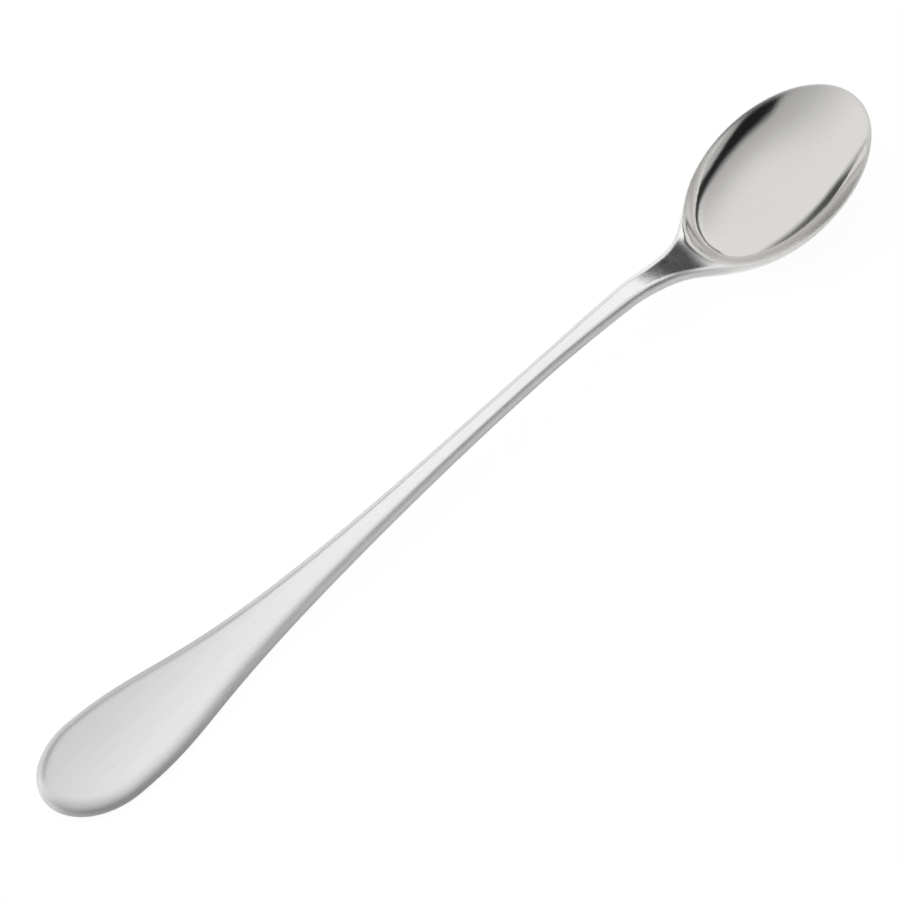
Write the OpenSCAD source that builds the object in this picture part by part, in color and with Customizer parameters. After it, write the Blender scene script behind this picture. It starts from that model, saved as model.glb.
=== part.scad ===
// Iced tea spoon in polished stainless steel, lying on a table with the bowl facing up.
// The handle tip points to -X and the bowl tip to +X. Heights count from the table, in mm.
// Along the spoon, q runs from 0 at the handle tip to overall_length at the bowl tip.
// Across it, v runs from -1 at the -Y edge to 1 at the +Y edge.

/* [Overall] */
// Length from the handle tip to the bowl tip
overall_length = 190; // [165:1:215]
// Height of the edge line as a share of the thickness, from the back
edge_line = 0.42; // [0.3:0.01:0.6]

/* [Bowl] */
// Length of the bowl from heel to tip, seen from above
bowl_length = 38.4; // [32:0.2:46]
// Width of the bowl across the rim
bowl_width = 26.2; // [20:0.2:34]
// Depth of the hollow below the rim, at the middle of the bowl
bowl_depth = 5.3; // [4:0.1:8]
// Share by which the hollow deepens from the middle of the bowl to the heel
heel_pull = 0.18; // [0:0.02:0.3]
// Metal added under the hollow
bowl_floor = 0.7; // [0.3:0.1:1.2]
// Thickness of the rim
rim_thickness = 1.3; // [0.9:0.1:2]
// Width of the rim around the hollow
rim_width = 0.14; // [0.1:0.02:0.6]
// Rounding of the lip where the rim runs over into the hollow
lip_round = 0.12; // [0.06:0.02:0.5]
// Angle at which the rim rises from the heel to the tip
rim_tilt = 15.6; // [8:0.2:20]
// Fullness of the hollow at its sides, from dished to flat-bottomed
side_fullness = 4; // [2.4:0.1:5]
// Fullness of the hollow towards the heel
heel_fullness = 5.5; // [3:0.1:7]
// Fullness of the bowl towards its tip
tip_fullness = 2.5; // [2:0.1:3.5]
// Fullness of the outside across the bowl
outside_fullness = 3.9; // [2.4:0.1:5]

/* [Neck] */
// Length of the neck from the plain stem to the heel of the bowl
neck_length = 36; // [28:1:46]
// Length of the shoulder beyond the heel, where the neck's edge runs into the rim
shoulder_length = 5.6; // [3:0.2:8]
// Length of the keel under the neck, before the heel
keel_length = 5.5; // [3:0.5:9]
// Distance from the heel back to the highest point of the stem
crest_setback = 18.6; // [14:0.2:26]
// Height of the edge line at the highest point of the stem
crest_height = 10.65; // [7:0.05:13]

/* [Stem] */
// Width of the stem where it is narrowest
stem_width = 3.8; // [3:0.1:6]
// Thickness of the stem
stem_thickness = 2.9; // [2.2:0.1:4]
// Rise of the stem's top towards its centre line
stem_crown = 0.15; // [0.05:0.05:0.4]

/* [Handle] */
// Width of the handle where it is widest
handle_width = 18.2; // [14:0.2:24]
// Thickness of the handle at its edge line
handle_thickness = 2.2; // [1.6:0.1:3]
// Rise of the handle's top towards its centre line
handle_crown = 0.65; // [0.1:0.05:1]
// Length of the round tip, up to the widest point
tip_length = 12.4; // [9:0.2:18]
// Length of the broad blade, from the tip to where the slender stem begins
blade_length = 74; // [60:1:90]
// Length of the handle that lies flat on the table
flat_length = 24; // [15:1:40]
// Bulge of the back, trimmed to a flat where it meets the table
back_bulge = 0.15; // [0.1:0.05:0.3]

/* [Edges] */
// Width of the rounding along the handle's upper edge
top_round = 2.6; // [0.8:0.1:3.2]
// Width of the rounding along the stem's upper edge
stem_round = 1.3; // [0.6:0.1:1.8]
// Width of the rounding along the top of the rim
rim_round = 0.32; // [0.2:0.02:0.8]
// Fullness of the upper rounding, from a chamfer at 1 to a circle at 2
round_fullness = 1.75; // [1.4:0.05:2.2]
// Width of the rounding along the handle's back edge
back_round = 0.8; // [0.4:0.1:1.2]

/* [Hidden] */

// places along the spoon
heel_at = overall_length - bowl_length;
bowl_mid = overall_length - bowl_length / 2;
shoulder_end = heel_at + shoulder_length;
crest_at = heel_at - crest_setback;
neck_start = heel_at - neck_length;

// the rim's straight rise starts a little past the heel, and the metal thins to the rim around it
rim_lead = 4.9;
rim_start = heel_at + rim_lead;
thinning_lead = 14;
thinning_start = heel_at - thinning_lead;
thinning_length = 20;

// pull of the curves' end tangents, as a share of each curve's length, and the neck's first widening
taper_pull = [0.22, 0.85];
shoulder_pull = [0.8, 0.24];
stem_flare = 0.02;

// fullness of the keel along the bowl, and the softness of its start
keel_fullness = 2.2;
keel_round = 0.3;

// depth of the cut that trims the back, the step for slopes, and a value that keeps divisors above 0
trim_depth = 2;
slope_step = 0.01;
tiny = 1e-6;

// how finely the surface is divided
across_steps = 24;
tip_steps = 9;
handle_steps = 26;
stem_steps = 22;
neck_steps = 16;
bowl_steps = 40;

// a soft step from 0 to 1
function soft_step(t) =
    let (c = max(0, min(1, t)))
    c * c * (3 - 2 * c);

function mix(a, b, t) = a + (b - a) * t;

// how far a value reaches above 0, bent softly to nothing below
function rounded(value, soft) = (value + sqrt(value * value + soft * soft)) / 2;

// a cubic curve through p[0] and p[3], pulled towards p[1] and p[2]
function curve(p, t) =
    let (r = 1 - t)
    r * r * r * p[0] + 3 * r * r * t * p[1] + 3 * r * t * t * p[2] + t * t * t * p[3];

// the place on a rising curve where it reaches x, by halving
function reach(p, x, low = 0, high = 1, left = 32) =
    let (middle = (low + high) / 2)
    left == 0 ? middle
    : curve(p, middle) < x ? reach(p, x, middle, high, left - 1)
    : reach(p, x, low, middle, left - 1);

// a curve from height a with slope sa to height b with slope sb
function flow(q0, a, sa, q1, b, sb, q) =
    let (third = (q1 - q0) / 3)
    curve([a, a + sa * third, b - sb * third, b], (q - q0) / (q1 - q0));

// half-width of the rim's oval, and its slope, at q
function oval(q) =
    let (s = (q - bowl_mid) / (bowl_length / 2))
    bowl_width / 2 * sqrt(max(0, 1 - s * s));
function oval_slope(q) = pow(bowl_width / bowl_length, 2) * (bowl_mid - q) / oval(q);

// half-width of the round tip, the taper and the shoulder
function tip_width(q) =
    let (s = 1 - q / tip_length)
    handle_width / 2 * sqrt(max(0, 1 - s * s));
function taper_width(q) =
    let (
        long = neck_start - tip_length,
        near = tip_length + taper_pull[0] * long,
        far = neck_start - taper_pull[1] * long,
        wide = handle_width / 2,
        slim = stem_width / 2
    )
    curve([wide, wide, slim, slim], reach([tip_length, near, far, neck_start], q));
function shoulder_width(q) =
    let (
        long = shoulder_end - neck_start,
        near = shoulder_pull[0] * long,
        far = shoulder_pull[1] * long,
        slim = stem_width / 2,
        wide = oval(shoulder_end),
        t = reach([neck_start, neck_start + near, shoulder_end - far, shoulder_end], q)
    )
    curve([slim, slim + stem_flare * near, wide - far * oval_slope(shoulder_end), wide], t);

// half-width of the spoon seen from above
function half_width(q) =
    q <= tip_length ? tip_width(q)
    : q <= neck_start ? taper_width(q)
    : q <= shoulder_end ? shoulder_width(q)
    : oval(q);

// half the slope of the squared half-width, which stays finite at both tips
function width_slope(q) =
    let (
        before = max(0, q - slope_step),
        after = min(overall_length, q + slope_step)
    )
    (pow(half_width(after), 2) - pow(half_width(before), 2)) / (after - before) / 2;

// progress from the handle's widest point to the neck
function along_taper(q) = soft_step((q - tip_length) / (neck_start - tip_length));

// a value that runs from the handle's to the stem's, then to the rim's around the heel
function blend(q, handle, stem, rim) =
    mix(mix(handle, stem, along_taper(q)), rim, soft_step((q - thinning_start) / thinning_length));

// thickness between the two edge roundings
function thickness(q) = blend(q, handle_thickness, stem_thickness, rim_thickness);

// depth of the hollow at a point, seen from above
function hollow(q, y) =
    let (
        s = (q - bowl_mid) / (bowl_length / 2 - rim_width),
        v = y / (bowl_width / 2 - rim_width),
        away = max(tiny, norm([s, v])),
        end_fullness = s < 0 ? heel_fullness : tip_fullness,
        fullness = mix(side_fullness, end_fullness, pow(s / away, 2) * min(1, away)),
        lip = side_fullness * lip_round / (bowl_width / 2)
    )
    bowl_depth * (1 - heel_pull * s) * rounded(1 - pow(away, fullness), lip);

// depth of the outside below the edge line, on the centre line
function outside_depth(q) =
    let (
        s = min(1, (q - bowl_mid) / (bowl_length / 2)),
        back = (bowl_mid - q) / (bowl_length / 2 + keel_length)
    )
    (bowl_depth + bowl_floor) * (1 - heel_pull * s) * (
        s > 0 ? 1 - pow(s, tip_fullness)
        : rounded(1 - pow(back, keel_fullness), keel_round)
    );

// the rim rises from a heel height at which the bowl's underside just reaches the table
function rim_rise(q) = (q - rim_start) * tan(rim_tilt);
function underside(q) = rim_rise(q) - edge_line * thickness(q) - outside_depth(q);
rim_height = -min([for (i = [0:bowl_steps]) underside(mix(rim_start, overall_length, i / bowl_steps))]);

// height of the edge line, along the flat, the rise, the drop and the rim
function edge_height(q) =
    let (flat = edge_line * handle_thickness)
    q <= flat_length ? flat
    : q <= crest_at ? flow(flat_length, flat, 0, crest_at, crest_height, 0, q)
    : q <= rim_start ? flow(crest_at, crest_height, 0, rim_start, rim_height, tan(rim_tilt), q)
    : rim_height + rim_rise(q);

// a rounding that climbs from 0 at the edge to 1
function quarter(t, fullness = 2) = pow(1 - pow(1 - max(0, min(1, t)), fullness), 1 / fullness);

// distance of a point from the outline, seen from above
function inset(q, v) =
    let (w2 = pow(half_width(q), 2))
    w2 * (1 - v * v) / (2 * sqrt(pow(width_slope(q), 2) + w2 * v * v) + tiny);

// one station's ring of points: the top from -Y to +Y, then the back
function ring(q) =
    let (
        w = half_width(q),
        edge = edge_height(q),
        above = (1 - edge_line) * thickness(q),
        below = edge_line * thickness(q),
        crown = blend(q, handle_crown, stem_crown, 0),
        bulge = back_bulge * (1 - soft_step((q - flat_length) / flat_length)),
        outside = outside_depth(q),
        upper = blend(q, top_round, stem_round, rim_round),
        lower = back_round * thickness(q) / handle_thickness
    )
    concat(
        [for (j = [0:across_steps])
            let (v = sin(180 * j / across_steps - 90), d = inset(q, v))
            [q - overall_length / 2, w * v, edge + above * quarter(d / upper, round_fullness)
                + crown * (1 - v * v) - hollow(q, w * v)]],
        [for (j = [across_steps - 1:-1:1])
            let (v = sin(180 * j / across_steps - 90), d = inset(q, v))
            [q - overall_length / 2, w * v, edge - below * quarter(d / lower) - bulge * (1 - v * v)
                - outside * (1 - pow(abs(v), outside_fullness))]]
    );

function handle_station(i) =
    i <= tip_steps ? tip_length * (1 - cos(90 * i / tip_steps))
    : mix(tip_length, blade_length, (i - tip_steps) / handle_steps);
function bowl_station(i) = heel_at + bowl_length * (1 - cos(180 * i / bowl_steps)) / 2;

// the ring's point on the back that lies under point j of its top
function under(j) = j == 0 || j == across_steps ? j : 2 * across_steps - j;

// the flat end over a ring whose points start at index base
function end_face(base) =
    [for (j = [0:across_steps - 1]) each concat(
        j < across_steps - 1 ? [[base + j, base + j + 1, base + under(j + 1)]] : [],
        j > 0 ? [[base + j, base + under(j + 1), base + under(j)]] : []
    )];

function turned(faces) = [for (f = faces) [f[2], f[1], f[0]]];

// a solid skin over the rings at the given stations, closed to a point where an end is a tip
module skin(stations, first_tip = false, last_tip = false) {
    size = 2 * across_steps;
    last = len(stations) - 1;
    rings = [for (i = [first_tip ? 1 : 0:last_tip ? last - 1 : last]) ring(stations[i])];
    far = (len(rings) - 1) * size;
    tip_at = far + size;
    points = concat(
        [for (r = rings) each r],
        first_tip ? [ring(stations[0])[0]] : [],
        last_tip ? [ring(stations[last])[0]] : []
    );
    walls = [for (i = [0:len(rings) - 2], k = [0:size - 1])
        let (a = i * size + k, b = i * size + (k + 1) % size)
        each [[a, b + size, a + size], [a, b, b + size]]];
    first_end = first_tip ? [for (k = [0:size - 1]) [tip_at, (k + 1) % size, k]] : turned(end_face(0));
    last_end = last_tip ? [for (k = [0:size - 1]) [tip_at, far + k, far + (k + 1) % size]] : end_face(far);
    polyhedron(points, concat(walls, first_end, last_end), convexity = 6);
}

// the oval bowl, with its hollow above and its keel below
module bowl() {
    color("LightSteelBlue")
        skin([for (i = [0:bowl_steps]) bowl_station(i)], last_tip = true);
}

// the neck, which drops from the stem's crest and flares to the heel of the bowl
module neck() {
    color("SlateGray")
        skin([for (i = [0:neck_steps]) mix(crest_at, heel_at, i / neck_steps)]);
}

// the slender stem between the taper and the neck
module stem() {
    color("Silver")
        skin([for (i = [0:stem_steps]) mix(blade_length, crest_at, i / stem_steps)]);
}

// the teardrop handle, with its back trimmed flat where it lies on the table
module handle() {
    color("Gainsboro")
        difference() {
            skin([for (i = [0:tip_steps + handle_steps]) handle_station(i)], first_tip = true);
            translate([-overall_length, -handle_width, -trim_depth])
                cube([overall_length, 2 * handle_width, trim_depth]);
        }
}

bowl();
neck();
stem();
handle();
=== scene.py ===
import math

import bmesh
import bpy
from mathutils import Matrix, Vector


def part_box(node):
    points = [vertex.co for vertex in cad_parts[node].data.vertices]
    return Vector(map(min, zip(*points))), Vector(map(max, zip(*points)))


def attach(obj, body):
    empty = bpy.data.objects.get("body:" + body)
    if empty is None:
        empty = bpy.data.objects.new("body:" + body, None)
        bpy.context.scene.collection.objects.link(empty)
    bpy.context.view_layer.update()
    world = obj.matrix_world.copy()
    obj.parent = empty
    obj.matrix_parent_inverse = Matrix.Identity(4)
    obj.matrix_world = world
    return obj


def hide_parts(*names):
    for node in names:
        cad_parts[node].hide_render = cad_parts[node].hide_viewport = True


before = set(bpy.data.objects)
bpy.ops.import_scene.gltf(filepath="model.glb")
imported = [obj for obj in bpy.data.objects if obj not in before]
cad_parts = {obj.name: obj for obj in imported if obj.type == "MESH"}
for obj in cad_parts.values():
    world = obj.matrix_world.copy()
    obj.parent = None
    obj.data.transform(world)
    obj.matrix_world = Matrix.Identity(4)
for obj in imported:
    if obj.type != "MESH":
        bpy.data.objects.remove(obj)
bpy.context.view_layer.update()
mm = 0.001
print("frame loaded:", sorted(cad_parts))


class Wire:
    # one socket of a node tree; sums on it add Math nodes
    def __init__(self, board, socket):
        self.board = board
        self.socket = socket

    def maths(self, operation, first, second=None):
        sockets = {0: first} if second is None else {0: first, 1: second}
        return self.board.add("ShaderNodeMath", {"operation": operation}, sockets)

    def __add__(self, other):
        return self.maths("ADD", self, other)

    def __radd__(self, other):
        return self.maths("ADD", other, self)

    def __sub__(self, other):
        return self.maths("SUBTRACT", self, other)

    def __rsub__(self, other):
        return self.maths("SUBTRACT", other, self)

    def __mul__(self, other):
        return self.maths("MULTIPLY", self, other)

    def __rmul__(self, other):
        return self.maths("MULTIPLY", other, self)

    def __truediv__(self, other):
        return self.maths("DIVIDE", self, other)

    def __pow__(self, other):
        return self.maths("POWER", self, other)

    def atMost(self, other):
        return self.maths("MINIMUM", self, other)

    def atLeast(self, other):
        return self.maths("MAXIMUM", self, other)

    # soft step from 0 at low to 1 at high
    def rise(self, low, high):
        settings = {"interpolation_type": "SMOOTHSTEP"}
        sockets = {"Value": self, "From Min": low, "From Max": high}
        return self.board.add("ShaderNodeMapRange", settings, sockets)


class Board:
    # a node tree that is filled one node at a time
    def __init__(self, tree):
        self.tree = tree
        tree.nodes.clear()

    def add(self, kind, settings=None, sockets=None, out=0):
        node = self.tree.nodes.new(kind)
        for name, value in (settings or {}).items():
            if name == "stops":
                self.setStops(node.color_ramp, value)
            else:
                setattr(node, name, value)
        for name, value in (sockets or {}).items():
            if isinstance(value, Wire):
                self.tree.links.new(value.socket, node.inputs[name])
            else:
                node.inputs[name].default_value = value
        return Wire(self, node.outputs[out]) if len(node.outputs) else node

    def setStops(self, ramp, stops):
        while len(ramp.elements) > 1:
            ramp.elements.remove(ramp.elements[-1])
        for at, grey in stops:
            stop = ramp.elements[0] if at == stops[0][0] else ramp.elements.new(at)
            stop.position = at
            stop.color = (grey, grey, grey, 1)


# the spoon's shape in millimetres; q runs along it from the handle tip
handleLow, handleHigh = (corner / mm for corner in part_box("handle"))
stemLow, stemHigh = (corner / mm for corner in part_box("stem"))
bowlLow, bowlHigh = (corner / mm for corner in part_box("bowl"))
spoonLength = bowlHigh.x - handleLow.x
heelAt = bowlLow.x - handleLow.x
bowlLength = bowlHigh.x - bowlLow.x
bowlWidth = bowlHigh.y - bowlLow.y
handleWidth = handleHigh.y - handleLow.y
crestAt = stemHigh.x - handleLow.x
bowlMid = heelAt + bowlLength / 2
nearby = 0.01  # step for a slope
onOutline = 0.0001  # closer to the outline than this counts as on it
tiny = 0.000001  # keeps a division from 0
halvings = 36  # steps of the search along a curve
rimSteps = 40  # steps of the search for the bowl's lowest point

shape = {
    "tipLength": 12.4,
    "stemWidth": 3.8,
    "handleThickness": 2.2,
    "stemThickness": 2.3,
    "rimThickness": 1.3,
    "edgeLine": (0.42, 0.47, 0.42),  # handle, stem and rim
    "handleCrown": 0.65,
    "stemCrown": 0.1,
    "flatLength": 24,
    "backBulge": 0.15,
    "crestHeight": 10.65,
    "neckLength": 36,
    "neckFill": (0.35, -14.6, 1.4),  # height, then start and end from the heel
    "shoulderLength": 5.6,
    "taperPull": (0.22, 0.85),
    "shoulderPull": (0.8, 0.24),
    "stemFlare": 0.02,
    "thinning": (-14, 6),  # start and end from the heel
    "rimTilt": 15.6,
    "rimLead": 4.9,
    "rimWidth": 0.14,
    "lipRound": 0.12,
    "hollowDepth": 5.3,
    "sideFullness": 4.0,
    "heelFullness": 5.5,
    "tipFullness": 2.5,
    "heelPull": 0.18,
    "floorThickness": 0.7,
    "keelLength": 5.5,
    "keelFullness": 2.2,
    "keelRound": 0.3,
    "outsideFullness": 3.9,
    "topRound": 2.6,
    "stemRound": 1.75,
    "rimRound": 0.32,
    "roundFullness": (1.75, 1.5, 1.75),  # handle, stem and rim
    "backRound": 0.8,
}
neckStart = heelAt - shape["neckLength"]
shoulderEnd = heelAt + shape["shoulderLength"]
rimStart = heelAt + shape["rimLead"]
rimSlope = math.tan(math.radians(shape["rimTilt"]))


def softStep(t):
    t = max(0.0, min(1.0, t))
    return t * t * (3 - 2 * t)


def pullCurve(p, t):
    r = 1 - t
    return r ** 3 * p[0] + 3 * r * r * t * p[1] + 3 * r * t * t * p[2] + t ** 3 * p[3]


def reachOn(p, x):
    low, high = 0.0, 1.0
    for step in range(halvings):
        middle = (low + high) / 2
        low, high = (middle, high) if pullCurve(p, middle) < x else (low, middle)
    return (low + high) / 2


def flow(q0, a, slopeA, q1, b, slopeB, q):
    third = (q1 - q0) / 3
    return pullCurve([a, a + slopeA * third, b - slopeB * third, b], (q - q0) / (q1 - q0))


def oval(q):
    s = (q - bowlMid) / (bowlLength / 2)
    return bowlWidth / 2 * math.sqrt(max(0.0, 1 - s * s))


def halfWidth(q):
    slim, wide = shape["stemWidth"] / 2, handleWidth / 2
    tip = shape["tipLength"]
    if q <= tip:
        s = 1 - q / tip
        return wide * math.sqrt(max(0.0, 1 - s * s))
    if q <= neckStart:
        near, far = (share * (neckStart - tip) for share in shape["taperPull"])
        t = reachOn([tip, tip + near, neckStart - far, neckStart], q)
        return pullCurve([wide, wide, slim, slim], t)
    if q <= shoulderEnd:
        near, far = (share * (shoulderEnd - neckStart) for share in shape["shoulderPull"])
        end = oval(shoulderEnd)
        endSlope = (bowlWidth / bowlLength) ** 2 * (bowlMid - shoulderEnd) / end
        t = reachOn([neckStart, neckStart + near, shoulderEnd - far, shoulderEnd], q)
        return pullCurve([slim, slim + shape["stemFlare"] * near, end - far * endSlope, end], t)
    return oval(q)


def alongTaper(q):
    return softStep((q - shape["tipLength"]) / (neckStart - shape["tipLength"]))


def blend(q, handle, stem, rim):
    start, end = shape["thinning"]
    shaft = handle + (stem - handle) * alongTaper(q)
    return shaft + (rim - shaft) * softStep((q - heelAt - start) / (end - start))


def thickness(q):
    return blend(q, shape["handleThickness"], shape["stemThickness"], shape["rimThickness"])


def belowEdge(q):
    return blend(q, *shape["edgeLine"]) * thickness(q)


def rounded(reach, soft):
    # reach where it is above 0, and nothing below, with a soft bend between
    return (reach + math.sqrt(reach * reach + soft * soft)) / 2


def outsideDepth(q):
    s = min(1.0, (q - bowlMid) / (bowlLength / 2))
    depth = (shape["hollowDepth"] + shape["floorThickness"]) * (1 - shape["heelPull"] * s)
    if s > 0:
        return depth * (1 - s ** shape["tipFullness"])
    back = (bowlMid - q) / (bowlLength / 2 + shape["keelLength"])
    return depth * rounded(1 - back ** shape["keelFullness"], shape["keelRound"])


def underside(q):
    return (q - rimStart) * rimSlope - belowEdge(q) - outsideDepth(q)


rimRun = (spoonLength - rimStart) / rimSteps
rimHeight = -min(underside(rimStart + rimRun * step) for step in range(rimSteps + 1))


def edgeHeight(q):
    flat = belowEdge(0)
    if q <= shape["flatLength"]:
        return flat
    if q <= crestAt:
        return flow(shape["flatLength"], flat, 0, crestAt, shape["crestHeight"], 0, q)
    if q <= rimStart:
        fill, start, end = shape["neckFill"]
        along = max(0.0, min(1.0, (q - heelAt - start) / (end - start)))
        drop = flow(crestAt, shape["crestHeight"], 0, rimStart, rimHeight, rimSlope, q)
        return drop + fill * math.sin(math.pi * along) ** 2
    return rimHeight + (q - rimStart) * rimSlope


def quarterRound(t, fullness=2):
    return (1 - (1 - max(0.0, min(1.0, t))) ** fullness) ** (1 / fullness)


def fromOutline(q, y):
    # distance from the outline, seen from above
    w2 = halfWidth(q) ** 2
    before, after = max(0, q - nearby), min(spoonLength, q + nearby)
    slope = (halfWidth(after) ** 2 - halfWidth(before) ** 2) / (after - before) / 2
    return (w2 - y * y) / (2 * math.sqrt(slope * slope + y * y) + tiny)


def hollow(q, y):
    # the dish is deepest and fullest towards the heel, and its lip is rounded over into the rim
    s = (q - bowlMid) / (bowlLength / 2 - shape["rimWidth"])
    v = y / (bowlWidth / 2 - shape["rimWidth"])
    away = max(tiny, math.hypot(s, v))
    side = shape["sideFullness"]
    end = shape["heelFullness"] if s < 0 else shape["tipFullness"]
    fullness = side + (end - side) * (s / away) ** 2 * min(1, away)
    soft = side * shape["lipRound"] / (bowlWidth / 2)
    depth = shape["hollowDepth"] * (1 - shape["heelPull"] * s)
    return depth * rounded(1 - away ** fullness, soft)


def topHeight(q, y):
    d = fromOutline(q, y)
    if d < onOutline:
        return edgeHeight(q)
    above = thickness(q) - belowEdge(q)
    roundWidth = blend(q, shape["topRound"], shape["stemRound"], shape["rimRound"])
    crown = blend(q, shape["handleCrown"], shape["stemCrown"], 0) * (1 - (y / halfWidth(q)) ** 2)
    rolled = above * quarterRound(d / roundWidth, blend(q, *shape["roundFullness"]))
    return edgeHeight(q) + rolled + crown - hollow(q, y)


def backHeight(q, y):
    d = fromOutline(q, y)
    if d < onOutline:
        return edgeHeight(q)
    v = min(1.0, abs(y) / halfWidth(q))
    roundWidth = shape["backRound"] * thickness(q) / shape["handleThickness"]
    bulge = shape["backBulge"] * (1 - softStep(q / shape["flatLength"] - 1)) * (1 - v * v)
    outside = outsideDepth(q) * (1 - v ** shape["outsideFullness"])
    return max(0, edgeHeight(q) - belowEdge(q) * quarterRound(d / roundWidth) - bulge - outside)


# the skin's columns along the spoon and rows across it
skin = {
    "tipColumns": 8,
    "bowlTipColumns": 13,
    "runs": {"handle": 22, "stem": 20, "neck": 14, "bowl": 15},
    "rows": 20,
    "rowPull": 65,
    "leastRow": 0.35,
    "topInset": (2.5, 1.4, 1.3),  # handle, stem and rim
    "topRings": [0.7, 0.42, 0.22, 0.09, 0],
    "backInset": (0.8, 0.8, 0.8),
    "backRings": [0.3, 1],
    "weld": 0.001,
    "smoothing": 2,
}


def bodyStations():
    marks = [shape["tipLength"], stemLow.x - handleLow.x, crestAt, heelAt, bowlMid]
    stations = [marks[0]]
    for count, start, end in zip(skin["runs"].values(), marks, marks[1:]):
        stations += [start + (end - start) * (k + 1) / count for k in range(count)]
    return stations


stations = bodyStations()
columns = skin["tipColumns"] + len(stations) - 1 + skin["bowlTipColumns"]


def planPoint(column, row, inset):
    # where a grid vertex lies, seen from above; both tips are wrapped without a pole
    pull = math.radians(skin["rowPull"])
    across = math.sin((2 * row / skin["rows"] - 1) * pull) / math.sin(pull)
    early = skin["tipColumns"] - column
    late = column - (columns - skin["bowlTipColumns"])
    if early > 0 or late > 0:
        a = early / skin["tipColumns"] if early > 0 else late / skin["bowlTipColumns"]
        a = math.sin(a * pull) / math.sin(pull)
        length, width, centre, way = (
            (shape["tipLength"], handleWidth / 2, shape["tipLength"], -1) if early > 0
            else (bowlLength / 2, bowlWidth / 2, bowlMid, 1))
        x = a * math.sqrt(1 - across * across / 2)
        y = across * math.sqrt(1 - a * a / 2)
        return centre + way * (length - inset) * x, (width - inset) * y
    q = stations[column - skin["tipColumns"]]
    w = halfWidth(q)
    slant = math.hypot(1, (halfWidth(q + nearby) - halfWidth(q - nearby)) / (2 * nearby))
    return q, across * max(skin["leastRow"] * w, w - inset * slant)


def makeSpoon():
    bm = bmesh.new()
    columnOf = bm.verts.layers.int.new("column")
    rowOf = bm.verts.layers.int.new("row")
    wearAndShadeOf = bm.verts.layers.float.new("edgeWear")

    def place(verts, share, height):
        for v in verts:
            q, y = planPoint(v[columnOf], v[rowOf], 0)
            inset = blend(q, *skin["topInset" if height is topHeight else "backInset"])
            q, y = planPoint(v[columnOf], v[rowOf], share * inset)
            v.co = (q - spoonLength / 2, y, height(q, y))
            # closeness to the outline, 1 on it: it sets the edge wear roughness and where the painted edge
            # shade and highlights go
            v[wearAndShadeOf] = 1 - share if height is topHeight else 1 - share ** 2

    def sheet(height):
        made = bmesh.ops.create_grid(bm, x_segments=columns, y_segments=skin["rows"], size=1)
        for v in made["verts"]:
            v[columnOf] = round((v.co.x + 1) / 2 * columns)
            v[rowOf] = round((v.co.y + 1) / 2 * skin["rows"])
        place(made["verts"], 1, height)

    sheet(topHeight)
    loop = [e for e in bm.edges if e.is_boundary]
    rings = [(share, topHeight) for share in skin["topRings"]]
    rings += [(share, backHeight) for share in skin["backRings"]]
    for share, height in rings:
        made = bmesh.ops.extrude_edge_only(bm, edges=loop)["geom"]
        place([g for g in made if isinstance(g, bmesh.types.BMVert)], share, height)
        loop = [g for g in made if isinstance(g, bmesh.types.BMEdge) and g.is_boundary]
    sheet(backHeight)
    bmesh.ops.remove_doubles(bm, verts=bm.verts, dist=skin["weld"])
    bmesh.ops.recalc_face_normals(bm, faces=bm.faces)
    bmesh.ops.scale(bm, vec=(mm, mm, mm), verts=bm.verts)
    openEdges = sum(not e.is_manifold for e in bm.edges)
    print("spoon cage:", len(bm.verts), "vertices,", openEdges, "open edges")
    mesh = bpy.data.meshes.new("spoon")
    bm.to_mesh(mesh)
    bm.free()
    mesh.shade_smooth()
    spoon = bpy.data.objects.new("spoon", mesh)
    bpy.context.scene.collection.objects.link(spoon)
    smoothing = spoon.modifiers.new("smoothing", "SUBSURF")
    smoothing.levels = smoothing.render_levels = skin["smoothing"]
    return spoon


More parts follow.
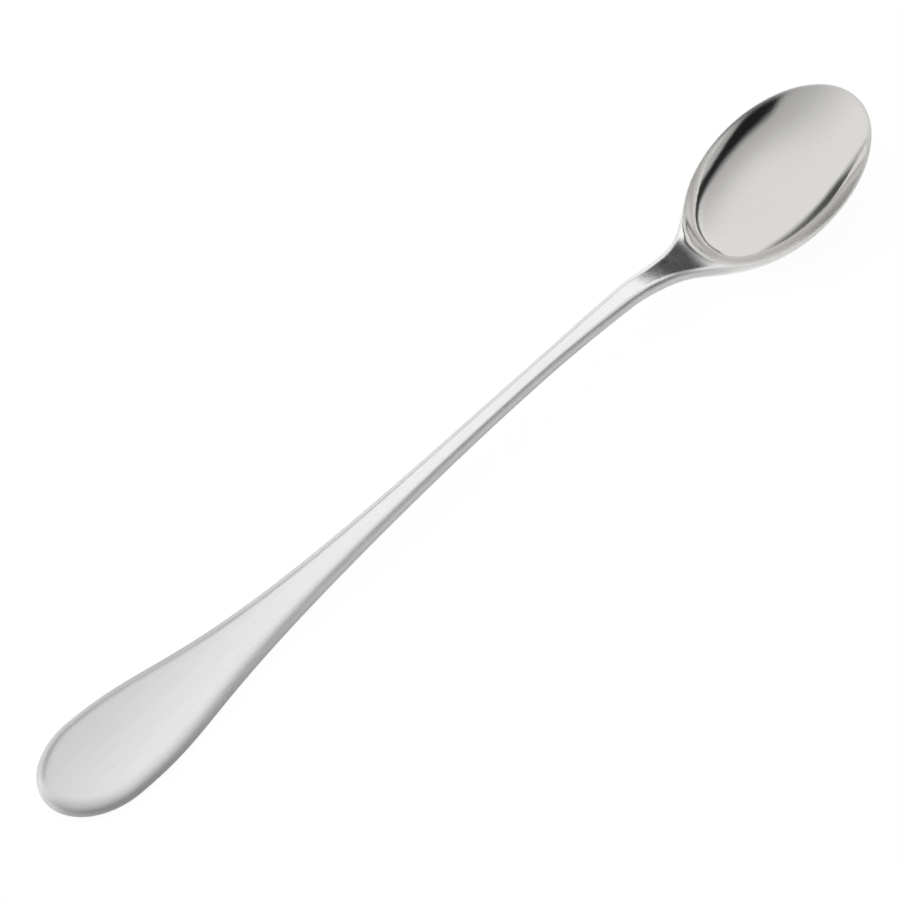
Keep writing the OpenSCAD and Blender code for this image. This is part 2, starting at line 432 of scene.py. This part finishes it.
# stainless steel, satin on the handle and mirror polished in the bowl; marks run along the spoon
# pairs are where a soft step starts and ends: an End or Zone in millimetres along the spoon,
# a Side in millimetres across it, and an edge closeness (used for wear and for painted edge shade and
# highlights), Wall or Tone as a share
steel = {
    # the handle's colour from tip to stem is painted light: darker at the tip and on the far side, lighter
    # at the stem, as if a near lamp lit the stem
    "tipPaintedShade": (0.622, 0.622, 0.626, 1),
    "stemPaintedLight": (0.873, 0.873, 0.875, 1),
    "bowlColour": (0.685, 0.675, 0.657, 1),
    # near-white heel wall: a painted highlight
    "heelPaintedHighlight": (0.99, 0.98, 0.965, 1),
    # painted shade on the outermost edge of the handle and stem
    "stemEdgeShade": (0.68, 0.68, 0.685, 1),
    # painted highlight on the rim's edge and on the handle's far edge
    "rimEdgeHighlight": (0.97, 0.97, 0.97, 1),
    # colour of the dark polishing marks, also used for the painted shade along the near edge
    "markAndShadeColour": (0.42, 0.42, 0.43, 1),
    "stemZone": (-30, 85),  # from the handle tip
    # tilts the painted shade and light across the handle, darker on its far side
    "stemSlant": 5,
    "neckZone": (-36.6, -11.6),  # this and the next two from the heel
    "bowlZone": (-4.6, 3.4),
    "heelEnd": (11.4, 23.4),
    "heelWall": (0.55, 0.8),  # square of the distance from the bowl's middle, 1 at its rim
    "edge": {"wear": (0.8, 1), "share": 0.8},
    # painted shade: darkens the edge line on the near side of the handle and stem
    "nearEdgeShade": {"wear": (0.55, 0.9), "side": (-4, 0), "end": (-5, 75), "share": 0.85},
    # painted highlight: lightens the edge line on the far side of the handle
    "farEdgeHighlight": {"wear": (0.4, 0.75), "side": (0, 4), "end": (3, 40), "share": 0.6},
    "handleRoughness": 0.3,
    "neckRoughness": 0.14,
    "bowlRoughness": 0.09,
    "heelRoughness": 0.45,  # added on the near half of the heel
    "heelSide": (-3, 3),
    "edgeRoughness": 0.62,
    "edgeSide": (1, 6),
    "markGrain": (90, 2600, 2600),
    "markDetail": 4,
    "markTone": (0.32, 0.6),
    "markShare": {"neck": 0.03, "handle": 0.08},
    "markRoughness": 0.08,
    "markDepth": 0.1,
    "markHeight": 0.2,
    "bowlPolish": 0.7,
    "cloudGrain": 60,
    "cloudDetail": 3,
    "cloudRoughness": 0.05,
}


def polishedSteel():
    material = bpy.data.materials.new("polishedSteel")
    material.use_nodes = True
    board = Board(material.node_tree)
    spot = board.add("ShaderNodeTexCoord", out="Object")
    grain = board.add("ShaderNodeVectorMath", {"operation": "MULTIPLY"}, {0: spot, 1: steel["markGrain"]})
    marks = board.add("ShaderNodeTexNoise", {}, {
        "Vector": grain, "Scale": 1.0, "Detail": steel["markDetail"]})
    cloud = board.add("ShaderNodeTexNoise", {}, {
        "Vector": spot, "Scale": steel["cloudGrain"], "Detail": steel["cloudDetail"]})
    wear = board.add("ShaderNodeAttribute", {"attribute_name": "edgeWear"}, out="Fac")
    x, y = (board.add("ShaderNodeSeparateXYZ", {}, {0: spot}, out=axis) / mm for axis in "XY")
    q = x + spoonLength / 2
    fromHeel = q - heelAt

    def tint(base, share, colour):
        return board.add("ShaderNodeMix", {"data_type": "RGBA"}, {0: share, 6: base, 7: colour}, out=2)

    # slanted across the handle so that the painted shade also falls on its far side
    toStem = (q - y * steel["stemSlant"]).rise(*steel["stemZone"])
    toNeck = fromHeel.rise(*steel["neckZone"])
    toBowl = fromHeel.rise(*steel["bowlZone"])
    fromMiddle = ((q - bowlMid) / (bowlLength / 2)) ** 2 + (y / (bowlWidth / 2)) ** 2
    # where the heel's painted highlight goes; the same place is also made rougher
    heel = (1 - fromHeel.rise(*steel["heelEnd"])) * fromMiddle.rise(*steel["heelWall"])

    # painted shade towards the handle tip and far side, painted light on the stem
    shaft = tint(steel["tipPaintedShade"], toStem, steel["stemPaintedLight"])
    # painted highlight on the heel wall
    bowl = tint(steel["bowlColour"], heel, steel["heelPaintedHighlight"])
    colour = tint(shaft, toBowl, bowl)
    edge, near, far = steel["edge"], steel["nearEdgeShade"], steel["farEdgeHighlight"]
    # outermost edges get painted shade on the handle and stem and a painted highlight on the bowl's rim
    paintedEdgeColour = tint(steel["stemEdgeShade"], toBowl, steel["rimEdgeHighlight"])
    colour = tint(colour, wear.rise(*edge["wear"]) * toStem * edge["share"], paintedEdgeColour)
    # painted shade along the near edge
    nearShadeMask = wear.rise(*near["wear"]) * (1 - y.rise(*near["side"])) * (1 - q.rise(*near["end"]))
    colour = tint(colour, nearShadeMask * near["share"], steel["markAndShadeColour"])
    # painted highlight along the far edge
    farHighlightMask = wear.rise(*far["wear"]) * y.rise(*far["side"]) * (1 - q.rise(*far["end"]))
    colour = tint(colour, farHighlightMask * far["share"], steel["rimEdgeHighlight"])
    neckShare, handleShare = steel["markShare"]["neck"], steel["markShare"]["handle"]
    markShare = neckShare + (handleShare - neckShare) * (1 - toNeck)
    colour = tint(colour, (1 - marks.rise(*steel["markTone"])) * markShare, steel["markAndShadeColour"])

    roughness = steel["handleRoughness"] + toNeck * (steel["neckRoughness"] - steel["handleRoughness"])
    roughness = roughness + toBowl * (steel["bowlRoughness"] - steel["neckRoughness"])
    roughness = roughness + (marks - 0.5) * steel["markRoughness"] + (cloud - 0.5) * steel["cloudRoughness"]
    roughness = roughness + toBowl * heel * (1 - y.rise(*steel["heelSide"])) * steel["heelRoughness"]
    worn = wear ** 2 * toStem.atLeast(y.rise(*steel["edgeSide"]))
    roughness = roughness + worn * steel["edgeRoughness"]
    bump = board.add("ShaderNodeBump", {}, {
        "Strength": steel["markDepth"], "Distance": steel["markHeight"] * mm,
        "Height": marks * (1 - toBowl * steel["bowlPolish"])})
    shader = board.add("ShaderNodeBsdfPrincipled", {}, {
        "Base Color": colour, "Metallic": 1.0, "Roughness": roughness, "Normal": bump})
    board.add("ShaderNodeOutputMaterial", {}, {"Surface": shader})
    return material


# pale floor that turns up far away, so that it is behind the spoon from every side
# the camera and the steel see most of it as plain white, and the rest keeps the shadow
floorSet = {
    "radius": 6.0,
    "wall": 0.9,
    "sides": 96,
    "colour": (0.9, 0.9, 0.9, 1),
    "glowColour": (1, 1, 1, 1),
    "glow": 1.06,
    "share": 0.86,
}


def makeFloor():
    bm = bmesh.new()
    bmesh.ops.create_circle(bm, cap_ends=True, segments=floorSet["sides"], radius=floorSet["radius"])
    rim = [e for e in bm.edges if e.is_boundary]
    made = bmesh.ops.extrude_edge_only(bm, edges=rim)["geom"]
    raised = [g for g in made if isinstance(g, bmesh.types.BMVert)]
    bmesh.ops.translate(bm, vec=(0, 0, floorSet["wall"]), verts=raised)
    mesh = bpy.data.meshes.new("floor")
    bm.to_mesh(mesh)
    bm.free()
    floor = bpy.data.objects.new("floor", mesh)
    bpy.context.scene.collection.objects.link(floor)
    material = bpy.data.materials.new("paleFloor")
    material.use_nodes = True
    board = Board(material.node_tree)
    camera = board.add("ShaderNodeLightPath", out="Is Camera Ray")
    glossy = board.add("ShaderNodeLightPath", out="Is Glossy Ray")
    through = board.add("ShaderNodeLightPath", out="Is Transmission Ray")
    seen = (camera + glossy + through).atMost(1)
    matt = board.add("ShaderNodeBsdfDiffuse", {}, {"Color": floorSet["colour"]})
    glow = board.add("ShaderNodeEmission", {}, {
        "Color": floorSet["glowColour"], "Strength": floorSet["glow"]})
    mixed = board.add("ShaderNodeMixShader", {}, {0: seen * floorSet["share"], 1: matt, 2: glow})
    board.add("ShaderNodeOutputMaterial", {}, {"Surface": mixed})
    mesh.materials.append(material)


# soft light from above over a dim room; azimuths and elevations are in degrees
studio = {
    "colour": (1, 1, 1, 1),
    "low": 0.56,
    "high": 1.02,
    "lean": 70,
    "span": (-0.85, 0.45),
    "steepest": 45,
    "roomTop": [
        (-152, 0), (-142, 14), (-128, 27), (-110, 30), (-90, 31), (-70, 29), (-58, 26), (-46, 23),
        (-30, 23), (-10, 24), (10, 22), (30, 23), (42, 8), (64, 6), (76, 18), (90, 22), (102, 17), (114, 0)],
    "softTop": [
        (-140, 22), (-120, 18), (-80, 18), (-60, 14), (-46, 10), (-10, 12), (30, 12), (70, 20), (110, 16)],
    "roomFoot": [(-140, 0), (-108, 4), (-95, 8), (-86, 13), (-76, 16), (-66, 15), (-52, 8), (-40, 2)],
    "softFoot": 7,
    "foot": 0.45,
    "room": [
        (-130, 0.5), (-121, 0.025), (-110, 0.018), (-70, 0.02), (-50, 0.03), (-30, 0.05), (-8, 0.11),
        (10, 0.13), (30, 0.13), (60, 0.4), (72, 0.3), (84, 0.16), (94, 0.1), (100, 0.12), (107, 0.6)],
    "shade": {"at": (22, 15), "reach": (2, 8), "level": 0.03, "gain": 0.8},
}


def toward(azimuth, elevation):
    a, e = math.radians(azimuth), math.radians(elevation)
    return Vector((math.cos(a) * math.cos(e), math.sin(a) * math.cos(e), math.sin(e)))


def makeLight():
    world = bpy.data.worlds.new("studio")
    bpy.context.scene.world = world
    world.use_nodes = True
    board = Board(world.node_tree)
    way = board.add("ShaderNodeTexCoord", out="Generated")
    x, y, z = (board.add("ShaderNodeSeparateXYZ", {}, {0: way}, out=axis) for axis in "XYZ")
    round360 = x.maths("ARCTAN2", y, x) / (2 * math.pi) + 0.5
    elevation = z.maths("ARCSINE", z) * (180 / math.pi)

    def along(direction):
        settings = {"operation": "DOT_PRODUCT"}
        return board.add("ShaderNodeVectorMath", settings, {0: way, 1: direction}, out="Value")

    def byAzimuth(points, high=1):
        stops = [(at / 360 + 0.5, value / high) for at, value in points]
        return board.add("ShaderNodeValToRGB", {"stops": stops}, {0: round360}) * high

    leaning = along(toward(studio["lean"], 0)).rise(*studio["span"])
    level = studio["low"] + leaning * (studio["high"] - studio["low"])
    top, soft, foot = (
        byAzimuth(studio[name], studio["steepest"]) for name in ("roomTop", "softTop", "roomFoot"))
    under = 1 - ((elevation - top) / soft).rise(0, 1)
    over = ((elevation - foot) / studio["softFoot"]).rise(0, 1)
    room = studio["foot"] + (byAzimuth(studio["room"]) - studio["foot"]) * over
    shade = studio["shade"]
    inner, outer = (math.cos(math.radians(angle)) for angle in shade["reach"])
    inShade = along(toward(*shade["at"])).rise(outer, inner)
    room = room + (shade["level"] - room) * inShade * shade["gain"]
    level = level + (room - level) * under
    light = board.add("ShaderNodeBackground", {}, {"Color": studio["colour"], "Strength": level})
    board.add("ShaderNodeOutputWorld", {}, {"Surface": light})


# the photograph's view: from the handle's side, looking down
view = {
    "azimuth": -44.17,
    "elevation": 58,
    "distance": 0.8,
    "sensor": 36,
    "lens": 189.3,
    "middle": (0, 0, 0.006),
    "aside": -0.0026,
    "above": -0.00112,
}


def makeCamera():
    a, e = math.radians(view["azimuth"]), math.radians(view["elevation"])
    back = Vector((math.sin(a) * math.cos(e), -math.cos(a) * math.cos(e), math.sin(e)))
    turn = (-back).to_track_quat("-Z", "Y")
    data = bpy.data.cameras.new("camera")
    data.sensor_width = view["sensor"]
    data.lens = view["lens"]
    camera = bpy.data.objects.new("camera", data)
    camera.rotation_mode = "QUATERNION"
    camera.rotation_quaternion = turn
    aim = Vector(view["middle"]) + turn @ Vector((view["aside"], view["above"], 0))
    camera.location = aim + back * view["distance"]
    bpy.context.scene.collection.objects.link(camera)
    bpy.context.scene.camera = camera


makeCamera()
makeFloor()
makeLight()
print("camera, floor and light are set")
spoon = makeSpoon()
spoon.data.materials.append(polishedSteel())
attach(spoon, "root")
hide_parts("bowl", "neck", "stem", "handle")
print("spoon is dressed")

bpy.context.scene.view_settings.view_transform = "Standard"
